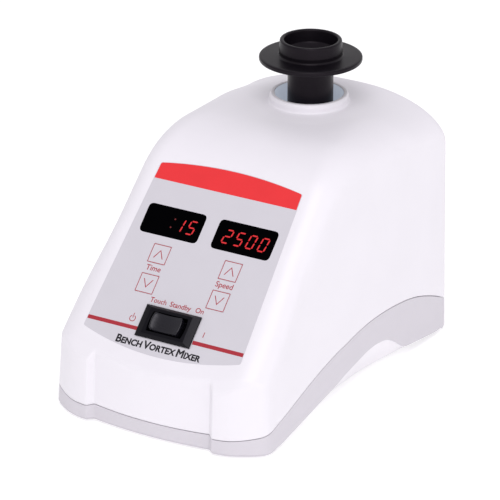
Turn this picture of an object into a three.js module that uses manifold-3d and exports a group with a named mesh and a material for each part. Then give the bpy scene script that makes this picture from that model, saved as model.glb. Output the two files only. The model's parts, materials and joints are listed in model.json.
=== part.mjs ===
// Vortex mixer: a bench shaker with a rubber cup head, built as separate pieces.
// Millimetres, +Z up, front towards -Y, origin on the resting plane under the middle of the body.
import * as THREE from 'three';
import { mergeVertices } from 'three/addons/utils/BufferGeometryUtils.js';
import { RoundedBoxGeometry } from 'three/addons/geometries/RoundedBoxGeometry.js';
import Module from 'manifold-3d';

const wasm = await Module();
wasm.setup();

// ---------------------------------------------------------------- driving dimensions

const halfWidth = 63.9; // body, at its foot
const frontY = -106; // front of the corner bumpers
const rearY = 105.2; // middle of the rear wall
const padHeight = 1.5; // rubber feet stand this far below the tray
const wall = 2.6; // moulded wall thickness
const gap = 0.3; // between pieces that rest on each other in a turned group

const slope = THREE.MathUtils.degToRad(44.64); // control face, from the horizontal
const slopeY = -88.8; // a point of the control face, at the label's lower line
const slopeZ = 51.9;
const crownZ = 131.3; // top of the dome
const crestStartY = -23; // the control face starts to curve into the dome
const crestEndY = 18.2; // the dome is level from here
const crownFall = 1; // the dome's fall towards the rear
const rearRound = 10; // radius of the rear top edge
const rearBow = 0.00274; // rear wall's bow in plan, mm per mm squared

const shoulderFront = { flat: 46.4, drop: 14.1, y: -59.7 };
const shoulderRear = { flat: 25, drop: 14.9, y: 95 };
const dome = { from: 56, to: 93, flat: 0.3, drop: 3 }; // the crown rounds off towards the rear
const draftFront = { angle: THREE.MathUtils.degToRad(5.2), y: -81 };
const draftRear = { angle: THREE.MathUtils.degToRad(1.2), y: 89 };
const draftNose = { angle: THREE.MathUtils.degToRad(2.6), y: -42, reach: 38 }; // steeper walls at the bumpers
const rearCorner = 3.7; // plan radius of the rear corners
const frontDraft = Math.tan(THREE.MathUtils.degToRad(2.4)); // front faces lean back

const recessHalf = 34.5; // recessed front face between the bumpers
const recessBow = 2.8;
const bumperInner = 37.6;
const bumperOuter = 60.5; // the outer corner's curve starts here
const bumperBow = 0.0182; // a bumper's face falls back by this, mm per mm squared
const cornerEnd = 16.9; // the corner's curve ends this far behind the bumper's front
const bumperBevel = 0.37; // extra slope of a bumper's top

const motorY = 54.1; // motor and cup axis
const eccentricity = 2.5; // radius of the orbit
const motorRadius = 30;
const collar = { inner: 18.1, top: 19.7, outer: 21, z: 137.3 };
const phase = -Math.PI / 4; // where on its orbit the head stands, from +X
const pinX = eccentricity * Math.cos(phase);
const pinY = motorY + eccentricity * Math.sin(phase);
const cup = { stem: 12.1, bore: 8.1, flange: 27.2, rim: 16.3, inner: 14.1, rimZ: 167.9 };

const label = { topV: 90.1, bottomV: -5.5, half: 46.7, taper: 0.0465, bulge: 7, arch: 4 };
const display = { width: 35.1, height: 16.9, v: 59.15, leftU: -21.5, rightU: 21.4 };
const key = { size: 10.9, timeU: -21.65, speedU: 20.85, upV: 40.95, downV: 24.1 };
const rocker = { width: 32.6, height: 17.7, v: 4.5, depth: 22, wellWidth: 20.4, wellHeight: 10.8 };

const parting = [[-112, 8.4], [-105, 9.6], [-93, 12.1], [-32.5, 27.6], [-13, 31], [2.8, 33.7], [18.6, 34.8],
  [34.6, 34.4], [50.7, 32.8], [58.9, 31.4], [67, 29.2], [79.6, 24.7], [91.7, 19.4], [112, 10]];
const archEdge = [[-92, 1.5], [-80, 2.7], [-30, 11.4], [-14.4, 14.9], [1.7, 17.9], [9.8, 19.2], [17.8, 19.6],
  [25.9, 18.8], [30.7, 17.6], [36.3, 15], [41.9, 11.6], [46, 8.4], [48.8, 6.8], [58.5, 5.4], [75.4, 3.3],
  [90, 1.6]];
const scoopDepth = { front: 10.7, rear: 4.6 };

// ---------------------------------------------------------------- materials

const material = (color, roughness, metalness = 0) =>
  new THREE.MeshStandardMaterial({ color, roughness, metalness });
const whitePlastic = () => material(0xeeebf1, 0.45);
const grayPlastic = () => material(0xd9d5dd, 0.5);
const overlayFilm = () => material(0xd8d7de, 0.4);
const blackPlastic = () => material(0x17171a, 0.4);
const blackRubber = () => material(0x26252a, 0.75);
const darkWindow = () => material(0x050506, 0.12);
const steel = () => material(0xb4b6b8, 0.35, 1);
const aluminium = () => material(0xc9cbcd, 0.4, 1);
const copper = () => material(0xb4672f, 0.4, 1);
const boardGreen = () => material(0x1f5c3a, 0.55);

// ---------------------------------------------------------------- solids

function solid(geometry) {
  const bare = geometry.clone();
  bare.deleteAttribute('normal');
  bare.deleteAttribute('uv');
  const merged = mergeVertices(bare, 1e-4);
  const vertProperties = merged.attributes.position.array;
  const triVerts = new Uint32Array(merged.index.array);
  return new wasm.Manifold(new wasm.Mesh({ numProp: 3, vertProperties, triVerts }));
}

function geometryOf(manifold) {
  const mesh = manifold.getMesh();
  const geometry = new THREE.BufferGeometry();
  geometry.setAttribute('position', new THREE.BufferAttribute(mesh.vertProperties, 3));
  geometry.setIndex(new THREE.BufferAttribute(mesh.triVerts, 1));
  return geometry;
}

// A closed skin through a list of rings, each a list of [x, y, z] with the same count.
function loft(rings) {
  const count = rings[0].length;
  const skin = new THREE.CylinderGeometry(1, 1, 1, count, rings.length - 1);
  const position = skin.attributes.position;
  let next = 0;
  const put = (point) => position.setXYZ(next++, ...point);
  const middle = (ring) => [0, 1, 2].map((axis) => ring.reduce((sum, p) => sum + p[axis], 0) / count);
  for (const ring of rings) {
    for (let i = 0; i <= count; i++) put(ring[i % count]);
  }
  for (const ring of [rings[0], rings[rings.length - 1]]) {
    for (let i = 0; i < count; i++) put(middle(ring));
    for (let i = 0; i <= count; i++) put(ring[i % count]);
  }
  return skin;
}

const box = (width, depth, height, x, y, z) =>
  new THREE.BoxGeometry(width, depth, height).translate(x, y, z + height / 2);
const disc = (radius, z0, z1, x = 0, y = 0, sides = 20) =>
  new THREE.CylinderGeometry(radius, radius, z1 - z0, sides)
    .rotateX(Math.PI / 2).translate(x, y, (z0 + z1) / 2);

// A ring turned about Z, from a closed list of [radius, z].
function turned(profile, sides = 24) {
  const points = profile.map(([r, z]) => new THREE.Vector2(r, z));
  if (points[0].x > 0) points.push(points[0].clone());
  return new THREE.LatheGeometry(points, sides).rotateX(Math.PI / 2);
}
const ring = (inner, outer, z0, z1, sides = 24) =>
  turned([[inner, z0], [outer, z0], [outer, z1], [inner, z1]], sides);

function roundedRectangle(width, height, radius, u = 0, v = 0) {
  const shape = new THREE.Shape();
  const [left, right, low, high] = [u - width / 2, u + width / 2, v - height / 2, v + height / 2];
  shape.moveTo(left + radius, low);
  shape.lineTo(right - radius, low);
  shape.absarc(right - radius, low + radius, radius, -Math.PI / 2, 0);
  shape.lineTo(right, high - radius);
  shape.absarc(right - radius, high - radius, radius, 0, Math.PI / 2);
  shape.lineTo(left + radius, high);
  shape.absarc(left + radius, high - radius, radius, Math.PI / 2, Math.PI);
  shape.lineTo(left, low + radius);
  shape.absarc(left + radius, low + radius, radius, Math.PI, Math.PI * 1.5);
  return shape;
}
function plate(shape, z0, z1, curveSegments = 4) {
  const options = { depth: z1 - z0, bevelEnabled: false, curveSegments };
  return new THREE.ExtrudeGeometry(shape, options).translate(0, 0, z0);
}

// The control face's own axes: x across, y up the slope, z out of the face.
const facePlacement = new THREE.Matrix4().makeRotationX(slope).setPosition(0, slopeY, slopeZ);
const onFace = (geometry) => geometry.clone().applyMatrix4(facePlacement);

// ---------------------------------------------------------------- body skin

const mix = (a, b, t) => a + (b - a) * t;
const unit = (t) => Math.min(1, Math.max(0, t));
const smooth = (t) => unit(t) ** 2 * (3 - 2 * unit(t));
const quarter = (t) => 1 - Math.sqrt(Math.max(0, 1 - unit(t) ** 2));

function crestHeight(y, inset) {
  const rise = Math.tan(slope);
  const onSlope = (at) => slopeZ + (at - slopeY) * rise;
  const bendY = slopeY + (crownZ - slopeZ) / rise;
  let height = onSlope(y);
  let steepness = rise;
  if (y > crestStartY) {
    const a = crestStartY - 2 * bendY + crestEndY;
    const b = 2 * (bendY - crestStartY);
    const t = unit((-b + Math.sqrt(b * b - 4 * a * (crestStartY - y))) / (2 * a));
    height = mix(onSlope(crestStartY), crownZ, t * (2 - t));
    steepness = rise * (1 - t);
  }
  const along = unit((y - crestEndY) / (rearY - crestEndY));
  const round = rearRound - inset;
  const overEdge = quarter((y - (rearY - rearRound)) / round);
  return height - inset * Math.hypot(1, steepness) - crownFall * along ** 2 - round * overEdge;
}

// Half of the body's outline at one station, from the crest to the foot, as [x, z].
function halfSection(y, inset, arcs) {
  const crest = crestHeight(y, inset);
  const blend = smooth((y - shoulderFront.y) / (shoulderRear.y - shoulderFront.y));
  const domed = smooth((y - dome.from) / (dome.to - dome.from));
  const drop = mix(shoulderFront.drop, shoulderRear.drop, blend) + dome.drop * domed;
  const along = unit((y - draftFront.y) / (draftRear.y - draftFront.y));
  const sideDraft = mix(draftFront.angle, draftRear.angle, along);
  const draft = mix(sideDraft, draftNose.angle, smooth((draftNose.y - y) / draftNose.reach));
  const foot = halfWidth - inset - rearCorner * quarter((y - (rearY - inset - rearCorner)) / rearCorner);
  const shoulderZ = Math.max(crest - drop, 1);
  const side = foot - shoulderZ * Math.tan(draft);
  const crown = mix(shoulderFront.flat, shoulderRear.flat, blend) * mix(1, dome.flat, domed);
  const flat = Math.min(crown, side - 2);
  const points = [];
  for (let i = 0; i < 2; i++) points.push([(flat * (i + 0.5)) / 2, crest]);
  for (let i = 0; i <= arcs; i++) {
    const angle = (i / arcs) * (Math.PI / 2);
    points.push([mix(flat, side, Math.sin(angle)), mix(shoulderZ, crest, Math.cos(angle))]);
  }
  for (let i = 1; i <= 2; i++) points.push([mix(side, foot, i / 2), mix(shoulderZ, 0, i / 2)]);
  return points;
}

function bodySkin(inset, arcs) {
  const stations = [-112, -104, -98, -60, crestStartY];
  for (let i = 1; i <= arcs - 2; i++) stations.push(mix(crestStartY, crestEndY, i / (arcs - 2)));
  stations.push(40, 62, 82, rearY - rearRound);
  const edge = rearRound - inset;
  for (let i = 1; i < arcs; i++) {
    const turned = Math.sin((i / (arcs - 1)) * (Math.PI / 2));
    stations.push(rearY - inset - edge * (1 - turned));
  }
  const place = (x, y, z) => [x, y - rearBow * unit(y / rearY) ** 2 * x * x, z];
  const rings = stations.map((y) => {
    const half = halfSection(y, inset, arcs);
    const bevel = (x) => bumperBevel * Math.max(0, -101.2 + (Math.abs(x) - recessHalf) * 0.216 - y);
    const right = half.map(([x, z]) => place(x, y, z - (z > 20 ? bevel(x) : 0)));
    const left = [...right].reverse().map(([x, py, z]) => [-x, py, z]);
    return [...right, ...left];
  });
  const last = rings[rings.length - 1];
  for (const size of [0.65, 0.3]) {
    rings.push(last.map(([x, , z]) => place(x * size, rearY - inset, 50 + (z - 50) * size)));
  }
  return orient(loft(rings));
}

// Turns a closed skin the right way out.
function orient(geometry) {
  const merged = solid(geometry);
  if (merged.volume() > 0) return merged;
  const index = geometry.index.array;
  for (let i = 0; i < index.length; i += 3) [index[i], index[i + 1]] = [index[i + 1], index[i]];
  return solid(geometry);
}

// Everything behind the front faces: two corner bumpers with a bowed recess between them.
function behindFront(inset) {
  const outline = [];
  for (let i = 0; i <= 6; i++) {
    const x = (recessHalf * i) / 6;
    outline.push([x, frontY + 0.2 + recessBow * (i / 6) ** 2 + inset]);
  }
  const faceY = (x) => frontY + 0.1 + bumperBow * (x - bumperInner) ** 2;
  for (const x of [bumperInner, 42.5, 48, 54]) outline.push([x, faceY(x) + inset]);
  const turn = new THREE.QuadraticBezierCurve(
    new THREE.Vector2(bumperOuter - 0.6 * inset, faceY(bumperOuter) + 0.77 * inset),
    new THREE.Vector2(halfWidth + 0.05 - inset, frontY + 12.5 + 0.4 * inset),
    new THREE.Vector2(halfWidth + 0.05 - inset, frontY + cornerEnd));
  for (const { x, y } of turn.getPoints(4)) outline.push([x, y]);
  outline.push([84, frontY + cornerEnd + 1]);
  outline.push([84, 130]);
  const mirrored = outline.slice(1).reverse().map(([x, y]) => [-x, y]);
  const loop = [...outline, ...mirrored];
  // The corners lean inward with the sides.
  const leaning = (z) => Math.min(z, 70) * Math.tan(draftNose.angle);
  const lean = (x, z) => Math.sign(x) * leaning(z) * smooth((Math.abs(x) - 46) / 12);
  const levels = [-4, 70, 180];
  const place = (x, y, z) => [x - lean(x, z), y < 100 ? y + z * frontDraft : y, z];
  return orient(loft(levels.map((z) => loop.map(([x, y]) => place(x, y, z)))));
}

// A band across the whole width, from a list of [y, z] along a smooth edge down or up to `level`.
function band(edge, lift, level) {
  const curve = new THREE.SplineCurve(edge.map(([y, z]) => new THREE.Vector2(y, z + lift)));
  const ends = [edge[edge.length - 1], edge[0]].map(([y]) => new THREE.Vector2(y, level));
  const shape = new THREE.Shape([...curve.getPoints(22), ...ends]);
  const sweep = new THREE.ExtrudeGeometry(shape, { depth: 200, bevelEnabled: false }).translate(0, 0, -100);
  const axes = [[0, 1, 0], [0, 0, 1], [1, 0, 0]].map((axis) => new THREE.Vector3(...axis));
  const turn = new THREE.Matrix4().makeBasis(...axes);
  return orient(sweep.applyMatrix4(turn));
}

// The hollow under one side arch: a cove from the arch's edge down to the tray's floor.
function scoop(side, offset) {
  const edge = new THREE.SplineCurve(archEdge.map(([y, z]) => new THREE.Vector2(y, z)));
  const rings = edge.getPoints(22).map((point) => {
    const fullDepth = mix(scoopDepth.front, scoopDepth.rear, smooth((point.x - 10) / 75));
    const depth = fullDepth * smooth(Math.min((point.x + 92) / 30, (91 - point.x) / 6)) + offset;
    const top = Math.max(point.y, padHeight + 0.05) + offset;
    const section = [[80, -6], [80, top]];
    for (let i = 0; i <= 5; i++) {
      const angle = (i / 5) * (Math.PI / 2);
      section.push([halfWidth - depth * Math.sin(angle), mix(padHeight, top, Math.cos(angle))]);
    }
    section.push([halfWidth - depth, -6]);
    const y = point.x < 0 ? Math.max(point.x - offset, -100) : point.x;
    return section.map(([x, z]) => [x * side, y, z]);
  });
  return orient(loft(rings));
}

const outerSkin = bodySkin(0, 7).intersect(behindFront(0));
const innerSkin = bodySkin(wall, 4).intersect(behindFront(wall));

// ---------------------------------------------------------------- the object

const mixer = new THREE.Group();

function add(parent, name, piece, finish) {
  const geometry = piece.isBufferGeometry ? piece : geometryOf(piece);
  const mesh = new THREE.Mesh(geometry, finish);
  mesh.name = name;
  parent.add(mesh);
  return mesh;
}

const face = new THREE.Group(); // everything that sits square to the control face
face.position.set(0, slopeY, slopeZ);
face.rotation.x = slope;
mixer.add(face);

// The overlay's outline: slightly wider at the bottom, arched above and bulged below.
function labelShape(grow) {
  const halfAt = (v) => label.half - label.taper * v + grow;
  const radius = 2.5;
  const [top, bottom] = [label.topV + grow, label.bottomV - grow];
  const shape = new THREE.Shape();
  shape.moveTo(-halfAt(bottom), bottom + radius);
  shape.quadraticCurveTo(-halfAt(bottom), bottom, -halfAt(bottom) + radius, bottom - 0.6);
  shape.quadraticCurveTo(0, bottom - 2 * label.bulge, halfAt(bottom) - radius, bottom - 0.6);
  shape.quadraticCurveTo(halfAt(bottom), bottom, halfAt(bottom), bottom + radius);
  shape.lineTo(halfAt(top), top - radius);
  shape.quadraticCurveTo(halfAt(top), top, halfAt(top) - radius, top + 0.4);
  shape.quadraticCurveTo(0, top + 2 * label.arch, -halfAt(top) + radius, top + 0.4);
  shape.quadraticCurveTo(-halfAt(top), top, -halfAt(top), top - radius);
  return shape;
}

const displayAt = [['time', display.leftU], ['speed', display.rightU]];
const keyAt = [['time_up', key.timeU, key.upV], ['time_down', key.timeU, key.downV],
  ['speed_up', key.speedU, key.upV], ['speed_down', key.speedU, key.downV]];

function faceOpenings(low, high) {
  const window = ([, u]) => roundedRectangle(display.width, display.height, 3, u, display.v);
  const square = ([, u, v]) => roundedRectangle(key.size, key.size, 0.5, u, v);
  const switchHole = roundedRectangle(rocker.width - 3, rocker.height - 3, 0.5, 0, rocker.v);
  const cuts = displayAt.map((at) => plate(window(at), low, high));
  for (const shape of [...keyAt.map(square), switchHole]) cuts.push(plate(shape, low, high, 1));
  return cuts;
}

// Upper housing: moulded shell with the collar, a pocket for the overlay and the openings.
const bossAt = [[-47, -62], [47, -62], [-47, 72], [47, 72]];

function upperHousing() {
  let shell = outerSkin.subtract(innerSkin);
  for (const [x, y] of bossAt) {
    const outward = Math.sign(x);
    const post = solid(disc(4.5, 5, 62, x, y, 16)).add(solid(box(14, 3, 30, x + outward * 7, y, 34)));
    shell = shell.add(post.intersect(outerSkin)).subtract(solid(disc(1.9, 0, 22, x, y, 12)));
  }
  const pocket = onFace(plate(labelShape(0.3), -0.6, 4, 8));
  shell = shell.subtract(solid(pocket));
  for (const cut of faceOpenings(-9, 4)) shell = shell.subtract(solid(onFace(cut)));
  const neck = turned([[collar.inner, crownZ - 8], [collar.outer + 2, crownZ - 8],
    [collar.outer + 9, crownZ - 1.5], [collar.outer + 9, crownZ - 0.3], [collar.outer + 4, crownZ + 0.7],
    [collar.outer, crownZ + 1.3], [collar.outer, collar.z - 2.2], [collar.top + 0.4, collar.z - 0.5],
    [collar.top, collar.z], [collar.inner + 0.5, collar.z], [collar.inner, collar.z - 0.5]]);
  neck.translate(0, motorY, 0);
  shell = shell.add(solid(neck).subtract(innerSkin));
  shell = shell.subtract(solid(disc(collar.inner, 100, 150, 0, motorY, 40)));
  shell = shell.subtract(solid(inletOpening())).subtract(solid(inletRecess()));
  return shell.subtract(band(parting, 0.1, -20));
}

// ---------------------------------------------------------------- rear inlet

const inlet = { z: 39, width: 27.4, height: 20, flange: 34, tall: 37, depth: 17, proud: 0.64 };
const inletBottom = inlet.z - inlet.tall / 2;
const inletOpening = () => box(inlet.width + 2.6, 20, inlet.tall - 4, 0, rearY, inletBottom + 2);
const inletRecess = () => box(inlet.flange + 0.4, 6, inlet.tall + 0.4, 0, rearY + 1.5, inletBottom - 0.2);

function inletHousing() {
  const flange = solid(box(inlet.flange, 2, inlet.tall, 0, rearY + inlet.proud - 1, inletBottom));
  const height = inlet.tall - 5;
  const depthY = rearY - inlet.depth / 2;
  const body = solid(box(inlet.width + 2, inlet.depth, height, 0, depthY, inletBottom + 2.5));
  const mouth = (tall, z) => solid(box(inlet.width - 3, 30, tall, 0, rearY + 1, z));
  let piece = flange.add(body);
  piece = piece.subtract(mouth(inlet.height - 3, inlet.z - 4)).subtract(mouth(7, inletBottom + 4));
  for (const [, x, up] of inletPins) {
    piece = piece.subtract(solid(box(2.4, 40, 4.4, x, rearY - 20, inlet.z + up - 2.2)));
  }
  return piece;
}
const inletPins = [['earth', 0, 7.5], ['line', -7, 2.5], ['neutral', 7, 2.5]];

// ---------------------------------------------------------------- base tray

function baseTray() {
  let tray = outerSkin.intersect(band(parting, -0.1, -30));
  let hollow = innerSkin.subtract(solid(box(200, 300, 20, 0, 0, padHeight + 3 - 20)));
  for (const side of [-1, 1]) hollow = hollow.subtract(scoop(side, wall));
  tray = tray.subtract(hollow);
  for (const side of [-1, 1]) tray = tray.subtract(scoop(side, 0));
  tray = tray.subtract(solid(box(300, 300, 20, 0, 0, padHeight - 20)));
  for (const [x, y] of bossAt) {
    tray = tray.subtract(solid(disc(1.9, 0, 12, x, y, 12))).subtract(solid(disc(3.9, 0, 3, x, y, 16)));
  }
  for (const [x, y] of footAt) tray = tray.subtract(solid(disc(6.1, 0, 12, x, y)));
  return tray;
}
const footAt = [[-42, -82], [42, -82], [-42, 86], [42, 86]];

add(mixer, 'upper_housing', upperHousing(), whitePlastic());
add(mixer, 'base_tray', baseTray(), grayPlastic());

// Rubber feet: a pad under the tray with a stub through its floor.
footAt.forEach(([x, y], i) => {
  const stubTop = padHeight + 4;
  const foot = turned([[0, 0], [9, 0], [9.6, 0.6], [9.6, padHeight], [5.8, padHeight],
    [5.8, stubTop], [0, stubTop]], 20);
  add(mixer, `rubber_foot_${i + 1}`, foot.translate(x, y, 0), blackRubber());
});

// Screws from below hold the tray to the housing's posts.
bossAt.forEach(([x, y], i) => {
  const screw = turned([[0, 1.6], [3.5, 1.6], [3.5, 2.9], [1.5, 2.9], [1.5, 18], [0, 19.5]], 12);
  add(mixer, `housing_screw_${i + 1}`, screw.translate(x, y, 0), steel());
});

// ---------------------------------------------------------------- control face

function overlay() {
  let film = solid(plate(labelShape(0), -0.3, 0.1, 8));
  for (const cut of faceOpenings(-2, 2)) film = film.subtract(solid(cut));
  return film;
}
add(face, 'front_label', overlay(), overlayFilm());

for (const [name, u] of displayAt) {
  const lens = roundedRectangle(display.width - 0.4, display.height - 0.4, 2.8, u, display.v);
  add(face, `display_lens_${name}`, plate(lens, -2.2, 0), darkWindow());
  const module = new THREE.BoxGeometry(31, 13.5, 6.6).translate(u, display.v, -6.2);
  add(face, `led_module_${name}`, module, blackPlastic());
}

for (const [name, u, v] of keyAt) {
  const cap = solid(plate(roundedRectangle(key.size - 0.5, key.size - 0.5, 0.4, u, v), -1.6, 0.1, 1));
  const stem = solid(new THREE.BoxGeometry(3, 3, 3.2).translate(u, v, -3));
  add(face, `key_${name}`, cap.add(stem), overlayFilm());
  const body = solid(new THREE.BoxGeometry(6, 6, 3.4).translate(u, v, -7.8));
  const plunger = new THREE.CylinderGeometry(1.7, 1.7, 1.4, 12).rotateX(Math.PI / 2).translate(u, v, -5.9);
  add(face, `tact_switch_${name}`, body.add(solid(plunger)), blackPlastic());
}

const boardCorners = [[-41, 17], [41, 17], [38, 72], [-38, 72]];
const boardShape = new THREE.Shape(boardCorners.map(([u, v]) => new THREE.Vector2(u, v)));
add(face, 'control_board', plate(boardShape, -11.5, -9.9), boardGreen());

// Rocker switch: a bevelled frame round a well, the body below, and the paddle on its pivot.
function rockerHousing() {
  const corners = (insetU, insetV, z) => [[1, 1], [-1, 1], [-1, -1], [1, -1]].map(([a, b]) =>
    [a * (rocker.width / 2 - insetU), rocker.v + b * (rocker.height / 2 - insetV), z]);
  const frame = orient(loft([corners(0, 0, gap + 0.1), corners(0, 0, 1), corners(3.9, 1.8, 2.5)]));
  const body = box(rocker.width - 4, rocker.height - 4, rocker.depth + 1, 0, rocker.v, -rocker.depth);
  const well = box(rocker.wellWidth, rocker.wellHeight, 16, 0, rocker.v, -9);
  let piece = frame.add(solid(body)).subtract(solid(well));
  for (const u of [-9, 0, 9]) piece = piece.add(solid(box(0.8, 6, 7.5, u, rocker.v, -rocker.depth - 7)));
  return piece;
}
add(face, 'rocker_housing', rockerHousing(), blackPlastic());

const pivotDepth = -3.2;
const paddleMount = new THREE.Group();
paddleMount.position.set(0, rocker.v, pivotDepth);
face.add(paddleMount);

// The paddle stands level in its middle position, its top dished along its length.
function rockerPaddle() {
  const half = 8.2;
  const outline = new THREE.Shape();
  outline.moveTo(-half, 7.8);
  outline.quadraticCurveTo(0, 4.6, half, 7.8);
  outline.lineTo(half - 0.4, 1.2);
  outline.quadraticCurveTo(0, -5.2, -half + 0.4, 1.2);
  const depth = 9.6;
  const bar = new THREE.ExtrudeGeometry(outline, { depth, bevelEnabled: false, curveSegments: 10 });
  return bar.rotateX(Math.PI / 2).translate(0, depth / 2, 0);
}
add(paddleMount, 'rocker_paddle', rockerPaddle(), blackPlastic());

// ---------------------------------------------------------------- power

add(mixer, 'inlet_housing', inletHousing(), blackPlastic());
inletPins.forEach(([name, x, up]) => {
  const blade = new RoundedBoxGeometry(2, 17, 4, 1, 0.4).translate(x, rearY - 12, inlet.z + up);
  add(mixer, `inlet_pin_${name}`, blade, steel());
});
const drawer = box(inlet.width - 3.6, 13, 6.4, 0, rearY - 6.2, inletBottom + 4.3);
add(mixer, 'fuse_drawer', drawer, blackPlastic());

add(mixer, 'ballast_plate', box(82, 146, 8, 0, 0, 4.7), steel());
add(mixer, 'power_board', box(70, 70, 1.6, 0, -32, 17), boardGreen());
add(mixer, 'transformer', box(34, 32, 26, -12, -24, 18.7), material(0x3a3a3c, 0.6));
add(mixer, 'capacitor', disc(8, 18.7, 44, 20, -30, 24), material(0x223a66, 0.4));

// ---------------------------------------------------------------- motor and its carriage

const atMotor = (geometry) => geometry.translate(0, motorY, 0);
const cornerAt = [[-29, -24], [29, -24], [-29, 26], [29, 26]];

function supportFrame() {
  let frame = solid(box(70, 59, 3, 0, motorY + 1, 38));
  frame = frame.subtract(solid(disc(20, 30, 45, 0, motorY)));
  for (const [x, y] of cornerAt) frame = frame.add(solid(box(9, 9, 25.4, x, motorY + y, 12.8)));
  return frame;
}
add(mixer, 'support_frame', supportFrame(), steel());

cornerAt.forEach(([x, y], i) => {
  const spring = ring(2.5, 5, 41.1, 52.9, 16).translate(x, motorY + y, 0);
  add(mixer, `suspension_spring_${i + 1}`, spring, blackRubber());
});

// The switch closes when the cup is pressed down and the plate above comes to its button.
const touchBody = solid(box(16, 6.5, 8.4, 0, motorY - 26, 41.1));
const touchButton = solid(box(3, 3, 10.2, 4, motorY - 26, 41.1));
add(mixer, 'touch_switch', touchBody.add(touchButton), blackPlastic());

const motorPlate = solid(box(70, 60, 3, 0, motorY + 1, 53));
add(mixer, 'motor_plate', motorPlate.subtract(solid(disc(10, 50, 60, 0, motorY))), steel());
const lowerCap = turned([[5, 56.1], [motorRadius, 56.1], [motorRadius, 62], [8.05, 62], [8.05, 57.5],
  [5, 57.5]]);
add(mixer, 'end_cap_lower', atMotor(lowerCap), aluminium());
add(mixer, 'bearing_lower', atMotor(ring(4.05, 8, 57.6, 62)), steel());
add(mixer, 'motor_can', atMotor(ring(28, motorRadius, 62.1, 97.9)), steel());
add(mixer, 'stator_core', atMotor(ring(16.2, 27.9, 66, 94)), material(0x8a8c90, 0.5, 1));
add(mixer, 'winding_lower', atMotor(ring(18, 26.5, 62.6, 65.9)), copper());
add(mixer, 'winding_upper', atMotor(ring(18, 26.5, 94.1, 97.4)), copper());
const upperCap = turned([[8.05, 98], [motorRadius, 98], [motorRadius, 104], [5, 104], [5, 102.6],
  [8.05, 102.6]]);
add(mixer, 'end_cap_upper', atMotor(upperCap), aluminium());
add(mixer, 'bearing_upper', atMotor(ring(4.05, 8, 98.1, 102.5)), steel());

// ---------------------------------------------------------------- rotor and eccentric drive

add(mixer, 'motor_shaft', atMotor(disc(3.98, 56.6, 117)), steel());
add(mixer, 'rotor', atMotor(ring(4.02, 15.6, 67, 93)), material(0x6d6f74, 0.5, 1));

const onRotor = (geometry) => atMotor(geometry.rotateZ(phase));

// The hub clamps on the shaft and carries the orbit pin, off the shaft's axis.
function eccentricHub() {
  const hub = solid(ring(4.02, 13, 106, 117)).add(solid(disc(13, 117, 119, 0, 0, 24)));
  const orbitPin = solid(disc(3.98, 118, 127, eccentricity, 0));
  const screwHole = new THREE.CylinderGeometry(1.6, 1.6, 10, 12).translate(0, 9, 112);
  return hub.add(orbitPin).subtract(solid(screwHole));
}
add(mixer, 'eccentric_hub', onRotor(geometryOf(eccentricHub())), aluminium());

function counterweight() {
  const half = new THREE.Shape();
  half.absarc(0, 0, 23, Math.PI * 0.62, Math.PI * 1.38);
  half.absarc(0, 0, 13.1, Math.PI * 1.38, Math.PI * 0.62, true);
  return plate(half, 107, 115, 12);
}
add(mixer, 'counterweight', onRotor(counterweight()), material(0xb08d4a, 0.35, 1));
const setScrew = new THREE.CylinderGeometry(1.5, 1.5, 7, 12).translate(0, 8.6, 112);
add(mixer, 'hub_set_screw', onRotor(setScrew), steel());

// ---------------------------------------------------------------- orbit head

const atPin = (geometry) => geometry.translate(pinX, pinY, 0);
add(mixer, 'orbit_bearing', atPin(ring(4.02, 9, 119.6, 126.5)), steel());
const postProfile = [[0, 127.4], [8.6, 127.4], [8.6, 126.6], [9.05, 126.6], [9.05, 119.8], [11.8, 119.8],
  [11.8, 130], [8, 130], [8, 150.5], [7.3, 151.2], [0, 151.2]];
add(mixer, 'drive_post', atPin(turned(postProfile)), aluminium());

const { stem, bore, flange, rim, inner, rimZ } = cup;
const cupProfile = [[0, 151.4], [bore, 151.4], [bore, 130.3], [stem, 130.3], [stem, 154], [13.6, 156.2],
  [flange - 0.8, 156.2], [flange, 157], [flange, 158], [flange - 0.8, 158.7], [16.6, 158.9], [16.8, 161],
  [rim, rimZ - 0.8], [rim - 0.8, rimZ], [inner + 0.4, rimZ], [inner, rimZ - 0.5], [13.2, 161], [7, 156.8],
  [0, 155.4]];
add(mixer, 'cup_head', atPin(turned(cupProfile, 40)), blackRubber());

export default mixer;
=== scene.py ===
"""Looks for the vortex mixer: fine skins, printed overlay, lit displays and materials."""

import json
import math

import bmesh
import bpy
import numpy as np
from mathutils import Matrix, Vector


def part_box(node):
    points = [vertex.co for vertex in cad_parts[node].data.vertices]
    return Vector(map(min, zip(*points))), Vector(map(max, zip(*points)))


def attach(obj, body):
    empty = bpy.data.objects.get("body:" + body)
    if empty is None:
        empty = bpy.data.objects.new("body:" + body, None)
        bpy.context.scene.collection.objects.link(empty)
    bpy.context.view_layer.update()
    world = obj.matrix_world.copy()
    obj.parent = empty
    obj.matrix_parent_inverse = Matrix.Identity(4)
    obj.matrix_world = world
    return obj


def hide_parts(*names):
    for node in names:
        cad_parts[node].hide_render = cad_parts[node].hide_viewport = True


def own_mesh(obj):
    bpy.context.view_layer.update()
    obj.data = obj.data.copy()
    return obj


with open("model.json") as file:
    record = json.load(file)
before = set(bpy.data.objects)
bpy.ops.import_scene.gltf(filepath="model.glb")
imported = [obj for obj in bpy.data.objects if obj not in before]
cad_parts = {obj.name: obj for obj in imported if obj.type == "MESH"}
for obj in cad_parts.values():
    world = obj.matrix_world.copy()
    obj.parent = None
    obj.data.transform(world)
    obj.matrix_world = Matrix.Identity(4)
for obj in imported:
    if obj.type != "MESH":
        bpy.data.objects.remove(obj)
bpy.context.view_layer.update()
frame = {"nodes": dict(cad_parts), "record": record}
MM = 0.001

# ---------------- shape of the body, in mm as in the part

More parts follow.
